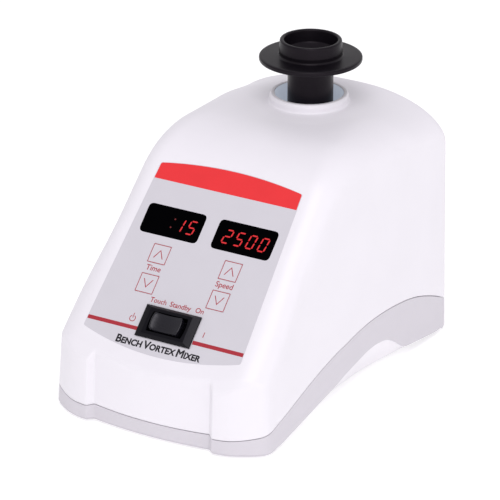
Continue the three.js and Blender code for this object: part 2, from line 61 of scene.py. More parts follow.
HALF_WIDTH, FRONT_Y, REAR_Y, PAD = 63.9, -106.0, 105.2, 1.5
WALL = 2.4
SLOPE = math.radians(44.64)
SLOPE_Y, SLOPE_Z = -88.8, 51.9
CROWN_Z, CREST_START, CREST_END, CROWN_FALL = 131.3, -23.0, 18.2, 1.0
CROWN_OVER = 100  # everything of the skin above this height belongs to the crown
REAR_ROUND, REAR_BOW, REAR_CORNER = 10.0, 0.00274, 3.7
FLAT_FRONT, FLAT_REAR = 46.4, 25.0
DROP_FRONT, DROP_REAR = 14.1, 14.9
DOMED_FROM, DOMED_TO, DOMED_FLAT, DOMED_DROP = 56, 93, 0.3, 3.0
SHOULDER_FROM, SHOULDER_TO = -59.7, 95.0
DRAFT_FRONT, DRAFT_REAR = math.radians(5.2), math.radians(1.2)
DRAFT_FROM, DRAFT_TO = -81.0, 89.0
DRAFT_NOSE, NOSE_FROM, NOSE_REACH = math.radians(2.6), -42, 38
FRONT_LEAN = math.tan(math.radians(2.4))
MOTOR_Y, ECCENTRICITY = 54.1, 2.5
PIN_X = ECCENTRICITY * math.cos(math.pi / 4)
PIN_Y = MOTOR_Y - ECCENTRICITY * math.sin(math.pi / 4)
COLLAR_INNER, COLLAR_TOP_R, COLLAR_OUTER, COLLAR_Z = 18.1, 19.7, 21.0, 137.3
HILL, HILL_REACH = 1.3, 12  # how far the crown swells up around the collar, and over what width
PARTING = [(-112, 8.4), (-105, 9.6), (-93, 12.1), (-32.5, 27.6), (-13, 31), (2.8, 33.7),
           (18.6, 34.8), (34.6, 34.4), (50.7, 32.8), (58.9, 31.4), (67, 29.2), (79.6, 24.7),
           (91.7, 19.4), (112, 10)]
ARCH = [(-92, 1.5), (-80, 2.7), (-30, 11.4), (-14.4, 14.9), (1.7, 17.9), (9.8, 19.2),
        (17.8, 19.6), (25.9, 18.8), (30.7, 17.6), (36.3, 15), (41.9, 11.6), (46, 8.4),
        (48.8, 6.8), (58.5, 5.4), (75.4, 3.3), (90, 1.6)]
ARCH_FRONT, ARCH_REAR = ARCH[0][0], ARCH[-1][0]
SCOOP_FRONT, SCOOP_REAR = 10.7, 4.6
KEYS = {"time_up": (-21.65, 40.95), "time_down": (-21.65, 24.1),
        "speed_up": (20.85, 40.95), "speed_down": (20.85, 24.1)}
KEY_SIZE = 10.9
ROCKER_W, ROCKER_H, ROCKER_V, PIVOT = 32.6, 17.7, 4.5, -3.2


def mix(a, b, t):
    return a + (b - a) * t


def smooth(t):
    t = np.clip(t, 0, 1)
    return t * t * (3 - 2 * t)


def bezier(p, t):
    weights = ((1 - t) ** 3, 3 * t * (1 - t) ** 2, 3 * t * t * (1 - t), t ** 3)
    return [sum(w * q[axis] for w, q in zip(weights, p)) for axis in (0, 1)]


def quarter(t):
    """How far a quarter circle has fallen, from 0 at its start to 1 at its end."""
    return 1 - np.sqrt(np.maximum(0, 1 - np.clip(t, 0, 1) ** 2))


def spline(points, steps=24):
    """A Catmull-Rom curve through the points, as a function of its first coordinate."""
    p = np.array(points, float)
    p = np.vstack([p[0], p, p[-1]])
    out = []
    for i in range(1, len(p) - 2):
        for t in np.linspace(0, 1, steps, endpoint=False):
            a, b = (p[i + 1] - p[i - 1]) / 2, (p[i + 2] - p[i]) / 2
            out.append((2 * p[i] - 2 * p[i + 1] + a + b) * t ** 3
                       + (-3 * p[i] + 3 * p[i + 1] - 2 * a - b) * t ** 2 + a * t + p[i])
    out.append(p[-1])
    out = np.array(out)
    return lambda y: np.interp(y, out[:, 0], out[:, 1])


def evened(curve, reach, taps=9):
    """The curve averaged over a short length, which takes out its small kinks."""
    return lambda y: sum(curve(y + d) for d in np.linspace(-reach, reach, taps)) / taps


parting = evened(spline(PARTING), 7)
arch = evened(spline(ARCH), 1.6)


def crest(y):
    """Height of the middle line over the whole length, carried on down past the front."""
    rise = math.tan(SLOPE)
    height = SLOPE_Z + (y - SLOPE_Y) * rise
    if y > CREST_START:
        bend = SLOPE_Y + (CROWN_Z - SLOPE_Z) / rise
        a, b = CREST_START - 2 * bend + CREST_END, 2 * (bend - CREST_START)
        t = min(1, (-b + math.sqrt(max(0, b * b - 4 * a * (CREST_START - y)))) / (2 * a))
        height = mix(SLOPE_Z + (CREST_START - SLOPE_Y) * rise, CROWN_Z, t * (2 - t))
    along = max(0, (y - CREST_END) / (REAR_Y - CREST_END))
    over = float(quarter((y - (REAR_Y - REAR_ROUND)) / REAR_ROUND))
    return height - CROWN_FALL * along ** 2 - REAR_ROUND * over


RECESS, BUMPER, CORNER, CORNER_END = 34.5, 37.6, 60.5, 16.9
RECESS_BACK, RECESS_BOW = 0.2, 2.8
BUMPER_BACK, BUMPER_BOW = 0.1, 0.0182
CORNER_SLOPE = 0.834  # how steeply a bumper falls back where the corner's curve starts
LEAN_TOP, LEAN_FROM, LEAN_REACH = 70, 46, 12
STEP_SOFT, STEP_END = 0.25, 45


def front_plan():
    """How far the front faces stand back, over x: recess, bumper, and the corner's curve."""
    points = [(x, RECESS_BACK + RECESS_BOW * (x / RECESS) ** 2)
              for x in np.linspace(0, RECESS, 8)]
    points += [(x, BUMPER_BACK + BUMPER_BOW * (x - BUMPER) ** 2)
               for x in np.linspace(BUMPER, CORNER, 16)]
    last = np.array(points[-1])
    knee = np.array([HALF_WIDTH, last[1] + CORNER_SLOPE * (HALF_WIDTH - CORNER)])
    end = np.array([HALF_WIDTH, CORNER_END])
    for t in np.linspace(0, 1, 25)[1:]:
        points.append(tuple((1 - t) ** 2 * last + 2 * t * (1 - t) * knee + t * t * end))
    return np.array(points).T


FRONT_PLAN = front_plan()


def front(x, z):
    """Where the front faces stand, for each x and height; the corners lean in with the sides."""
    across = np.abs(x)
    lean = np.clip(z, 0, LEAN_TOP) * math.tan(DRAFT_NOSE)
    across = across + lean * smooth((across - LEAN_FROM) / LEAN_REACH)
    taps = np.linspace(-STEP_SOFT, STEP_SOFT, 5)
    stepped = sum(np.interp(across + t, *FRONT_PLAN) for t in taps) / len(taps)
    plan = np.where(across < STEP_END, stepped, np.interp(across, *FRONT_PLAN))
    return FRONT_Y + plan + z * FRONT_LEAN


# The skin is a grid. Its columns run from the middle line to the edge of the flat, round the
# shoulder and down the side, and they stand close together at the step beside the recess. Its
# rows run from below the nose to the rear wall. Rows past the front are pushed back onto it.
CREST_COLUMNS = [0, 5, 10, 15, 20, 25, 29, 31.5, 33.2, 33.9, 34.3, 34.7, 35.2, 36, 36.8, 37.3,
                 37.7, 38.2, 39.2, 41.5, 44, 46.4]
ARC_STEPS, ARC_HANDLE = 16, 0.5523
CHIN = [-129, -131, -133, -135.5, -138, -141]
NOSE = list(np.arange(-88.1, -109, -0.75)) + list(np.arange(-110, -127, -1.7)) + [-127.08]
SLOPE_ROWS = list(np.arange(-86, -25, 5))
BEND_ROWS = list(np.linspace(CREST_START, CREST_END, 22))
CROWN_ROWS = list(np.arange(20.5, 94, 2.3))
REAR_ROWS = [REAR_Y - REAR_ROUND * (1 - math.sin(a)) for a in np.linspace(0, math.pi / 2, 13)]
REAR_RINGS, REAR_FLAT_Z = (0.93, 0.8, 0.62, 0.42, 0.22, 0.07), 50
EDGE_SOFT = 1.1
BROW_Y, BROW_TURN, BROW_REACH, BROW_DROP = -101.2, 0.216, 5, 0.37
LEAST_SHOULDER = 2
WELD = 0.004


def half_section(y, nose_levels):
    """Right half of one cross-section, crest to foot, as arrays of x and z."""
    top = crest(y)
    blend = smooth((y - SHOULDER_FROM) / (SHOULDER_TO - SHOULDER_FROM))
    domed = smooth((y - DOMED_FROM) / (DOMED_TO - DOMED_FROM))
    drop = mix(DROP_FRONT, DROP_REAR, blend) + DOMED_DROP * domed
    along = np.clip((y - DRAFT_FROM) / (DRAFT_TO - DRAFT_FROM), 0, 1)
    draft = mix(DRAFT_FRONT, DRAFT_REAR, along)
    draft = mix(draft, DRAFT_NOSE, smooth((NOSE_FROM - y) / NOSE_REACH))
    foot = HALF_WIDTH - REAR_CORNER * quarter((y - (REAR_Y - REAR_CORNER)) / REAR_CORNER)
    shoulder = max(top - drop, 0)
    side = foot - shoulder * math.tan(draft)
    flat = min(mix(FLAT_FRONT, FLAT_REAR, blend) * mix(1, DOMED_FLAT, domed),
               side - LEAST_SHOULDER)
    x = [flat * c / CREST_COLUMNS[-1] for c in CREST_COLUMNS]
    z = [top] * len(x)
    handle = ARC_HANDLE * (top - shoulder)
    bend = [(flat, top), (flat + ARC_HANDLE * (side - flat), top),
            (side - handle * math.tan(draft), shoulder + handle), (side, shoulder)]
    for t in np.linspace(0, 1, ARC_STEPS + 1)[1:]:
        px, pz = bezier(bend, t)
        x.append(px)
        z.append(pz)
    share = nose_levels / nose_levels[0]
    low = np.minimum(nose_levels, shoulder) if y < NOSE[0] + 0.01 else shoulder * share
    x += list(foot - low[1:] * math.tan(draft))
    z += list(low[1:])
    return np.array(x), np.array(z)


def skin_points():
    """The outer skin as rows of points from below the nose to the rear wall."""
    nose_levels = np.array([max(0.0, crest(y) - DROP_FRONT) for y in NOSE])
    stations = CHIN[::-1] + NOSE[::-1] + SLOPE_ROWS + BEND_ROWS + CROWN_ROWS + REAR_ROWS
    rows = []
    for y in stations:
        x, z = half_section(y, nose_levels)
        reach = np.clip(BROW_Y + (x - RECESS) * BROW_TURN - y, 0, BROW_REACH)
        z = z - BROW_DROP * reach * smooth((CORNER - x) / 5)
        away = np.hypot(x, y - MOTOR_Y)
        near = smooth((COLLAR_OUTER + HILL_REACH - away) / HILL_REACH)
        z = z + HILL * near * (z > CROWN_OVER)
        stand = front(x, z)
        close = np.clip(EDGE_SOFT - np.abs(y - stand), 0, None) / EDGE_SOFT
        at = np.maximum(y, stand) + close ** 2 * EDGE_SOFT / 4
        if y > 0:
            at = y - REAR_BOW * (y / REAR_Y) ** 2 * x * x
        rows.append(np.stack([x, at, z], 1))
    last = rows[-1]
    for size in REAR_RINGS:
        x, z = last[:, 0] * size, last[:, 2]
        z = np.where(z > REAR_FLAT_Z, REAR_FLAT_Z + (z - REAR_FLAT_Z) * size, z)
        rows.append(np.stack([x, REAR_Y - REAR_BOW * x * x, z], 1))
    return np.array(rows)


def skin_mesh():
    """Both halves of the skin as one bmesh, in mm."""
    right = skin_points()
    left = right[:, :0:-1] * np.array([-1, 1, 1])
    grid = np.concatenate([left, right], 1)
    rows, cols = grid.shape[:2]
    bm = bmesh.new()
    verts = [bm.verts.new(p) for p in grid.reshape(-1, 3)]
    for r in range(rows - 1):
        for c in range(cols - 1):
            a = r * cols + c
            bm.faces.new((verts[a], verts[a + 1], verts[a + cols + 1], verts[a + cols]))
    bm.faces.new([verts[(rows - 1) * cols + c] for c in range(cols)])
    bmesh.ops.remove_doubles(bm, verts=bm.verts, dist=WELD)
    bmesh.ops.dissolve_degenerate(bm, edges=bm.edges, dist=WELD)
    bmesh.ops.recalc_face_normals(bm, faces=bm.faces)
    if sum(f.normal.z * f.calc_area() for f in bm.faces) < 0:
        bmesh.ops.reverse_faces(bm, faces=bm.faces)
    return bm


CUT_NEAR = 1e-4  # a point this close to a cut counts as on it
LIP_BELOW = 60  # lips are only on the lower part of the skin
ON_FRONT, ON_REAR, REAR_TURN_FROM = 0.5, 1.2, 88
NOSE_TURN, NOSE_SHARE, REAR_SHARE = 6, 0.9, 1.6
WINDOW_MARGIN = 6


def trim(bm, edge, levels, keep_above):
    """Cuts the mesh along a curve over y, at each offset, and keeps one side of the first cut."""
    for v in bm.verts:
        v.co.z -= float(edge(v.co.y))
    for i, level in enumerate(levels):
        geom = bm.verts[:] + bm.edges[:] + bm.faces[:]
        first = i == 0
        bmesh.ops.bisect_plane(bm, geom=geom, dist=CUT_NEAR, plane_co=(0, 0, level),
                               plane_no=(0, 0, 1), clear_inner=first and keep_above,
                               clear_outer=first and not keep_above)
    for v in bm.verts:
        v.co.z += float(edge(v.co.y))


def inward(p, step=0.4):
    """Level direction into the body from a point of its outer skin."""
    across, ahead = abs(p.x), p.y - float(front(p.x, p.z))
    rear_corner = HALF_WIDTH - REAR_CORNER
    if ahead < ON_FRONT and across < CORNER + 1.5:
        slope = (front(across + step, p.z) - front(across - step, p.z)) / (2 * step)
        d = Vector((-slope * math.copysign(1, p.x), 1, 0))
    elif p.y > REAR_Y - REAR_BOW * p.x ** 2 - ON_REAR and across < rear_corner:
        d = Vector((-2 * REAR_BOW * p.x, -1, 0))
    else:
        turn = float(np.clip(1 - (across - rear_corner) / REAR_CORNER, 0, 1))
        nose = float(np.clip(1 - ahead / NOSE_TURN, 0, 1))
        back = REAR_SHARE * turn * (p.y > REAR_TURN_FROM)
        d = Vector((-math.copysign(1, p.x), NOSE_SHARE * nose - back, 0))
    return d.normalized()


def round_lip(bm, edge, start, radius, above):
    """Turns the mesh inward beside a cut, so the edge is a rounded lip."""
    for v in bm.verts:
        h = (v.co.z - float(edge(v.co.y)) - start) * (1 if above else -1)
        if h < radius and v.co.z < LIP_BELOW:
            left = radius - max(0, h)
            v.co += inward(v.co) * (radius - math.sqrt(max(0, radius ** 2 - left ** 2)))


def cut_window(bm, planes, inside):
    """Opens a window: the faces near it are split along its sides, then those within removed."""
    for co, no in planes:
        near = [f for f in bm.faces if inside(f.calc_center_median(), WINDOW_MARGIN)]
        geom = near + list({e for f in near for e in f.edges})
        geom += list({v for f in near for v in f.verts})
        bmesh.ops.bisect_plane(bm, geom=geom, dist=CUT_NEAR, plane_co=co, plane_no=no)
    gone = [f for f in bm.faces if inside(f.calc_center_median(), 0)]
    bmesh.ops.delete(bm, geom=gone, context="FACES")


# ---------------- making objects


def link(ob):
    bpy.context.scene.collection.objects.link(ob)
    return ob


def new_object(name, mesh, body, matrix=None):
    ob = link(bpy.data.objects.new(name, mesh))
    if matrix is not None:
        ob.matrix_world = matrix
    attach(ob, body)
    return ob


def finish_mesh(bm, name, scale=MM, sharp=32):
    if scale != 1:
        bmesh.ops.scale(bm, vec=(scale,) * 3, verts=bm.verts)
    mesh = bpy.data.meshes.new(name)
    bm.to_mesh(mesh)
    bm.free()
    for p in mesh.polygons:
        p.use_smooth = True
    mesh.set_sharp_from_angle(angle=math.radians(sharp))
    return mesh


def evaluated_mesh(ob):
    graph = bpy.context.evaluated_depsgraph_get()
    return bpy.data.meshes.new_from_object(ob.evaluated_get(graph))


def solidified(name, bm, body, islands=()):
    """A closed shell from an open skin in mm, with further closed islands joined to it."""
    ob = link(bpy.data.objects.new(name, finish_mesh(bm, name)))
    mod = ob.modifiers.new("wall", "SOLIDIFY")
    mod.thickness, mod.offset, mod.use_even_offset = WALL * MM, -1, False
    mesh = evaluated_mesh(ob)
    ob.modifiers.clear()
    whole = bmesh.new()
    whole.from_mesh(mesh)
    for island in islands:
        whole.from_mesh(island)
        bpy.data.meshes.remove(island)
    ob.data = finish_mesh(whole, name, 1)
    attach(ob, body)
    return ob


def turned(profile, sides=96, x=0.0, y=0.0):
    """A closed solid turned about Z, from a closed loop of (radius, z) in mm."""
    bm = bmesh.new()
    angles = [2 * math.pi * i / sides for i in range(sides)]
    rings = []
    for r, z in profile:
        if r < 1e-6:
            rings.append([bm.verts.new((x, y, z))])
            continue
        rings.append([bm.verts.new((x + r * math.cos(a), y + r * math.sin(a), z))
                      for a in angles])
    closed = len(rings[0]) > 1
    pairs = list(zip(rings, rings[1:])) + ([(rings[-1], rings[0])] if closed else [])
    for a, b in pairs:
        for i in range(sides):
            j = (i + 1) % sides
            loop = [a[i % len(a)], a[j % len(a)], b[j % len(b)], b[i % len(b)]]
            loop = list(dict.fromkeys(loop))
            if len(loop) > 2:
                bm.faces.new(loop)
    bmesh.ops.recalc_face_normals(bm, faces=bm.faces)
    return bm


def rounded(points, radii, steps=5, closed=False):
    """A polyline with its corners turned on arcs."""
    out = []
    n = len(points)
    for i, (p, r) in enumerate(zip(points, radii)):
        p = np.array(p, float)
        if r == 0 or (not closed and i in (0, n - 1)):
            out.append(tuple(p))
            continue
        a, b = np.array(points[i - 1], float), np.array(points[(i + 1) % n], float)
        to_a, to_b = np.linalg.norm(a - p), np.linalg.norm(b - p)
        da, db = (a - p) / to_a, (b - p) / to_b
        half = math.acos(max(-1, min(1, float(da @ db)))) / 2
        reach = min(r / math.tan(half), 0.49 * to_a, 0.49 * to_b)
        for t in np.linspace(0, 1, steps + 1):
            s, e = p + da * reach, p + db * reach
            out.append(tuple((1 - t) ** 2 * s + 2 * t * (1 - t) * p + t * t * e))
    return out


def rounded_rectangle(width, height, radius, u=0.0, v=0.0, steps=6):
    a, b = width / 2, height / 2
    corners = [(u - a, v - b), (u + a, v - b), (u + a, v + b), (u - a, v + b)]
    return rounded(corners, [radius] * 4, steps, True)


# The control face: u to the right, v up the slope, w out of it.
FACE = Matrix.Translation((0, SLOPE_Y * MM, SLOPE_Z * MM)) @ Matrix.Rotation(SLOPE, 4, "X")
FILM_TOP = 0.12
FILM_EDGE = 0.03
PRINT_SKIN = 0.012
PRINT_LEAST = 0.02


def flat_shape(name, loops, low, high, edge, body, material):
    """A thin plate from closed loops of (u, v) in mm, first the outline and then its holes."""
    curve = bpy.data.curves.new(name, "CURVE")
    curve.dimensions, curve.fill_mode = "2D", "BOTH"
    for loop in loops:
        poly = curve.splines.new("POLY")
        poly.points.add(len(loop) - 1)
        for point, (u, v) in zip(poly.points, loop):
            point.co = (u * MM, v * MM, 0, 1)
        poly.use_cyclic_u = True
    curve.extrude = ((high - low) / 2 - edge) * MM
    curve.bevel_depth, curve.bevel_resolution = edge * MM, 1
    curve.offset = -edge * MM
    return from_curve(name, curve, (low + high) / 2, body, material)


def from_curve(name, curve, w, body, material, at=FACE, flatten=1.0):
    """The filled curve as a mesh at height w over the control face."""
    source = link(bpy.data.objects.new(name + "_source", curve))
    bpy.context.view_layer.update()
    mesh = evaluated_mesh(source)
    bpy.data.objects.remove(source)
    bm = bmesh.new()
    bm.from_mesh(mesh)
    bmesh.ops.remove_doubles(bm, verts=bm.verts, dist=1e-7)
    bmesh.ops.scale(bm, vec=(1, 1, flatten), verts=bm.verts)
    bmesh.ops.translate(bm, vec=(0, 0, w * MM), verts=bm.verts)
    mesh = finish_mesh(bm, name, 1, 8)
    ob = new_object(name, mesh, body, at)
    ob.data.materials.append(material)
    return ob


def printed(name, loops, material, body="housing", thickness=0.02):
    """A printed mark on the overlay."""
    return flat_shape(name, loops, FILM_TOP, FILM_TOP + thickness, thickness / 5, body,
                      material)


def text(name, words, size, u, v, material, weight, capitals=False):
    """Printed words centred on (u, v), their strokes made heavier by weight in mm."""
    weight = max(weight, PRINT_LEAST)
    curve = bpy.data.curves.new(name, "FONT")
    curve.body, curve.size = words, size * MM
    curve.align_x, curve.align_y = "CENTER", "CENTER"
    curve.bevel_depth, curve.bevel_resolution = weight * MM, 0
    curve.resolution_u = 4
    if capitals:
        curve.small_caps_scale, curve.space_word = 0.78, 0.55
        for letter in curve.body_format:
            letter.use_small_caps = True
    at = FACE @ Matrix.Translation((u * MM, v * MM, 0))
    return from_curve(name, curve, FILM_TOP + PRINT_SKIN, "housing", material, at,
                      PRINT_SKIN / weight)


# ---------------- materials


def linear(r, g, b):
    """Display levels from 0 to 255 as the linear colour a shader takes."""
    return tuple(((c / 255 + 0.055) / 1.055) ** 2.4 if c > 10 else c / 255 / 12.92
                 for c in (r, g, b)) + (1,)


def surface(name, color, roughness, spread=0.03, mottle=14, grain=0.0, grain_size=0.5,
            metallic=0.0, specular=0.5, rough_spread=0.05, stretch=(1, 1, 1), emission=None,
            gloss=(1, 1, 1)):
    """Cloudy colour and roughness, and a fine moulded or machined grain; lengths in mm."""
    mat = bpy.data.materials.new(name)
    mat.use_nodes = True
    nodes, links = mat.node_tree.nodes, mat.node_tree.links
    shader = nodes["Principled BSDF"]
    coords = nodes.new("ShaderNodeTexCoord")
    cloud = nodes.new("ShaderNodeTexNoise")
    cloud.inputs["Scale"].default_value = 1000 / mottle
    cloud.inputs["Detail"].default_value = 4
    links.new(coords.outputs["Object"], cloud.inputs["Vector"])
    ramp = nodes.new("ShaderNodeValToRGB")
    low, high = ramp.color_ramp.elements
    low.position, high.position = 0.3, 0.7
    low.color = tuple(c * (1 - spread) for c in color[:3]) + (1,)
    high.color = tuple(min(1, c * (1 + spread)) for c in color[:3]) + (1,)
    links.new(cloud.outputs["Fac"], ramp.inputs["Fac"])
    links.new(ramp.outputs["Color"], shader.inputs["Base Color"])
    rough = nodes.new("ShaderNodeMapRange")
    rough.inputs["To Min"].default_value = max(0.02, roughness - rough_spread)
    rough.inputs["To Max"].default_value = min(1, roughness + rough_spread)
    links.new(cloud.outputs["Fac"], rough.inputs["Value"])
    links.new(rough.outputs["Result"], shader.inputs["Roughness"])
    if grain:
        mapping = nodes.new("ShaderNodeMapping")
        mapping.inputs["Scale"].default_value = stretch
        links.new(coords.outputs["Object"], mapping.inputs["Vector"])
        fine = nodes.new("ShaderNodeTexNoise")
        fine.inputs["Scale"].default_value = 1000 / grain_size
        fine.inputs["Detail"].default_value = 2
        links.new(mapping.outputs["Vector"], fine.inputs["Vector"])
        bump = nodes.new("ShaderNodeBump")
        bump.inputs["Strength"].default_value = 1
        bump.inputs["Distance"].default_value = grain * MM
        links.new(fine.outputs["Fac"], bump.inputs["Height"])
        links.new(bump.outputs["Normal"], shader.inputs["Normal"])
    shader.inputs["Metallic"].default_value = metallic
    shader.inputs["Specular IOR Level"].default_value = specular
    shader.inputs["Specular Tint"].default_value = gloss + (1,)
    if emission:
        shader.inputs["Emission Color"].default_value = emission[0]
        shader.inputs["Emission Strength"].default_value = emission[1]
    return mat


WHITE = surface("housing_plastic", linear(227, 224, 230), 0.42, 0.012, 30, 0.006, 0.55)
GRAY = surface("base_plastic", linear(202, 198, 205), 0.48, 0.015, 25, 0.008, 0.55)
# A lighter copy of the base plastic for the inside of the side scoop: painted light, standing in
# for the light the floor throws up into it.
GRAY_PAINTED_LIT = surface("base_plastic_painted_lit", linear(234, 231, 236), 0.3, 0.015, 25, 0.004, 0.55)
FILM = surface("overlay_film", linear(199, 196, 203), 0.38, 0.01, 20, 0.002, 0.3)
RED = surface("red_print", linear(222, 36, 42), 0.36, 0.02, 12, 0.002, 0.3)
RED_FINE = surface("red_fine_print", linear(160, 26, 42), 0.4, 0.02, 12, 0.002, 0.3)
INK = surface("black_print", linear(24, 22, 28), 0.36, 0.05, 12, 0.002, 0.3, specular=0.3)
WINDOW = surface("window_tint", linear(3, 3, 4), 0.12, 0.2, 20, specular=0.0, rough_spread=0.03)
GLOW = surface("lit_segment", linear(150, 10, 12), 0.3, 0.1, 3,
               emission=(linear(228, 36, 46), 0.5))
GLOW_DIM = surface("lit_dot", linear(90, 8, 10), 0.3, 0.1, 3,
                   emission=(linear(255, 30, 24), 0.05))
BLACK = surface("switch_plastic", linear(9, 8, 13), 0.3, 0.12, 8, 0.004, 0.35, specular=0.13,
                gloss=(0.92, 0.9, 1.0))
PADDLE = surface("paddle_plastic", linear(17, 16, 22), 0.24, 0.12, 8, 0.002, 0.35,
                 specular=0.35, gloss=(0.95, 0.93, 1.0))
RUBBER = surface("cup_rubber", linear(14, 11, 16), 0.34, 0.16, 7, 0.008, 0.5, specular=0.16,
                 gloss=(1.0, 0.88, 0.99))
# The bore is a bluish white with a weak glow of its own: painted light, standing in for the light
# that reaches the bore wall under the cup.
BORE_PAINTED_GLOW = surface("housing_bore_painted_glow", linear(205, 214, 228), 0.35, 0.012, 30, 0.003, 0.55,
               emission=(linear(206, 214, 228), 0.36))
STEEL = surface("steel", linear(176, 177, 180), 0.3, 0.06, 9, 0.004, 0.3, 1.0,
                stretch=(1, 12, 1))
ALUMINIUM = surface("aluminium", linear(200, 201, 204), 0.34, 0.05, 9, 0.004, 0.25, 1.0,
                    stretch=(1, 1, 14))
BRASS = surface("brass", linear(190, 152, 82), 0.3, 0.08, 9, 0.003, 0.25, 1.0)
COPPER = surface("enamelled_wire", linear(172, 98, 44), 0.35, 0.15, 5, 0.05, 0.8, 0.9,
                 stretch=(1, 1, 6))
IRON = surface("laminated_iron", linear(112, 114, 118), 0.45, 0.12, 6, 0.03, 0.5, 0.9,
               stretch=(1, 1, 10))
BOARD = surface("circuit_board", linear(28, 84, 52), 0.4, 0.2, 5, 0.01, 0.6)

SLOT_LOOK = {"housing_white": WHITE, "base_gray": GRAY, "overlay": FILM,
             "black_plastic": BLACK, "black_rubber": RUBBER, "window": WINDOW, "steel": STEEL,
             "aluminium": ALUMINIUM, "brass": BRASS, "copper_winding": COPPER,
             "iron_core": IRON, "board": BOARD}

slot_of = {s["node"]: s["material_slot"] for s in frame["record"]["subparts"]}
for node, ob in frame["nodes"].items():
    ob.data.materials.clear()
    ob.data.materials.append(SLOT_LOOK[slot_of[node]])

# ---------------- upper housing

SEAM = 0.12  # half the gap at the parting line
LIP = 0.55
LIP_ROWS = [0, 0.06, 0.16, 0.32, LIP]
NECK = 2.4  # the collar's foot reaches this far past it, into the crown
SWITCH_HALF_U, SWITCH_HALF_V = 14.8, 7.4
KEY_GAP = 0.2
INLET_HALF_X, INLET_HALF_Z, INLET_Z, INLET_DEPTH = 15, 16.5, 39, 3
BORE_FOOT_Z = 115


def collar_solid():
    """The collar with its bore, and a foot sunk into the crown."""
    foot, sunk = CROWN_Z + HILL, CROWN_Z - 9
    outline = [(COLLAR_INNER, sunk), (COLLAR_OUTER + NECK, CROWN_Z - 3),
               (COLLAR_OUTER + NECK, foot - 0.3), (COLLAR_OUTER, foot - 0.05),
               (COLLAR_OUTER, COLLAR_Z - 1.6), (COLLAR_TOP_R + 0.4, COLLAR_Z),
               (COLLAR_INNER, COLLAR_Z), (COLLAR_INNER, sunk)]
    outline = rounded(outline, [0, 0, 0.1, 1.6, 1.2, 0.8, 0.7, 0], 8)
    return finish_mesh(turned(outline[:-1], 128, 0, MOTOR_Y), "collar", MM, 50)


def open_face(bm, u, v, half_u, half_v):
    """Opens a rectangular hole in the control face."""
    out = Vector((0, -math.sin(SLOPE), math.cos(SLOPE)))
    up = Vector((0, math.cos(SLOPE), math.sin(SLOPE)))
    foot = Vector((0, SLOPE_Y, SLOPE_Z))

    def within(p, grow):
        d = p - foot
        return (abs(d.x - u) < half_u + grow and abs(d.dot(up) - v) < half_v + grow
                and abs(d.dot(out)) < 1)

    sides = [((u + half_u, 0, 0), (1, 0, 0)), ((u - half_u, 0, 0), (1, 0, 0)),
             (foot + up * (v + half_v), up), (foot + up * (v - half_v), up)]
    cut_window(bm, sides, within)


def open_inlet(bm):
    """Opens the window for the power inlet in the rear wall."""

    def within(p, grow):
        return (abs(p.x) < INLET_HALF_X + grow and abs(p.z - INLET_Z) < INLET_HALF_Z + grow
                and p.y > REAR_Y - INLET_DEPTH)

    sides = [((side * INLET_HALF_X, 0, 0), (1, 0, 0)) for side in (1, -1)]
    sides += [((0, 0, INLET_Z + side * INLET_HALF_Z), (0, 0, 1)) for side in (-1, 1)]
    cut_window(bm, sides, within)


def upper_housing():
    bm = skin_mesh()
    trim(bm, parting, [SEAM + row for row in LIP_ROWS], True)
    round_lip(bm, parting, SEAM, LIP, True)
    neck = COLLAR_OUTER + NECK - 0.5
    under = [f for f in bm.faces
             if all(math.hypot(v.co.x, v.co.y - MOTOR_Y) < neck and v.co.z > CROWN_OVER
                    for v in f.verts)]
    bmesh.ops.delete(bm, geom=under, context="FACES")
    open_face(bm, 0, ROCKER_V, SWITCH_HALF_U, SWITCH_HALF_V)
    for u, v in KEYS.values():
        open_face(bm, u, v, KEY_SIZE / 2 + KEY_GAP, KEY_SIZE / 2 + KEY_GAP)
    open_inlet(bm)
    ob = solidified("visual_upper_housing", bm, "housing", [collar_solid()])
    ob.data.materials.append(WHITE)
    ob.data.materials.append(BORE_PAINTED_GLOW)
    # Faces inside the bore take the glowing bore material: painted light.
    for face in ob.data.polygons:
        out = face.center - Vector((0, MOTOR_Y * MM, face.center.z))
        in_bore = out.length < (COLLAR_INNER + 0.1) * MM and face.center.z > BORE_FOOT_Z * MM
        face.material_index = int(in_bore)
    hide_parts("upper_housing")


# ---------------- base tray

TRAY_FLOOR = PAD + 0.9
SCOOP_STEPS, SCOOP_SHALLOW = 9, 1.0
SCOOP_RISE, SCOOP_END, SCOOP_FALL = 30, 91, 6
SCOOP_TAPER_FROM, SCOOP_TAPER = 10, 75
# Stretch of the scoop that takes the lighter copy of the base plastic (painted light): from and
# to along y, and how far in from the side.
PAINTED_LIT_FROM, PAINTED_LIT_TO, PAINTED_LIT_DEPTH = ARCH_FRONT + 8, 60, 2.2


def scoop_share(y):
    """How much of a scoop there is at y: none at both ends of the arch, all of it between."""
    return float(smooth(min((y - ARCH_FRONT) / SCOOP_RISE, (SCOOP_END - y) / SCOOP_FALL)))


def tray_low(y):
    """Lower edge of the tray's side: the floor, and the arch where it rises above that."""
    inside = (np.asarray(y) > ARCH_FRONT) & (np.asarray(y) < ARCH_REAR)
    return np.where(inside, np.maximum(TRAY_FLOOR, arch(y)), TRAY_FLOOR)


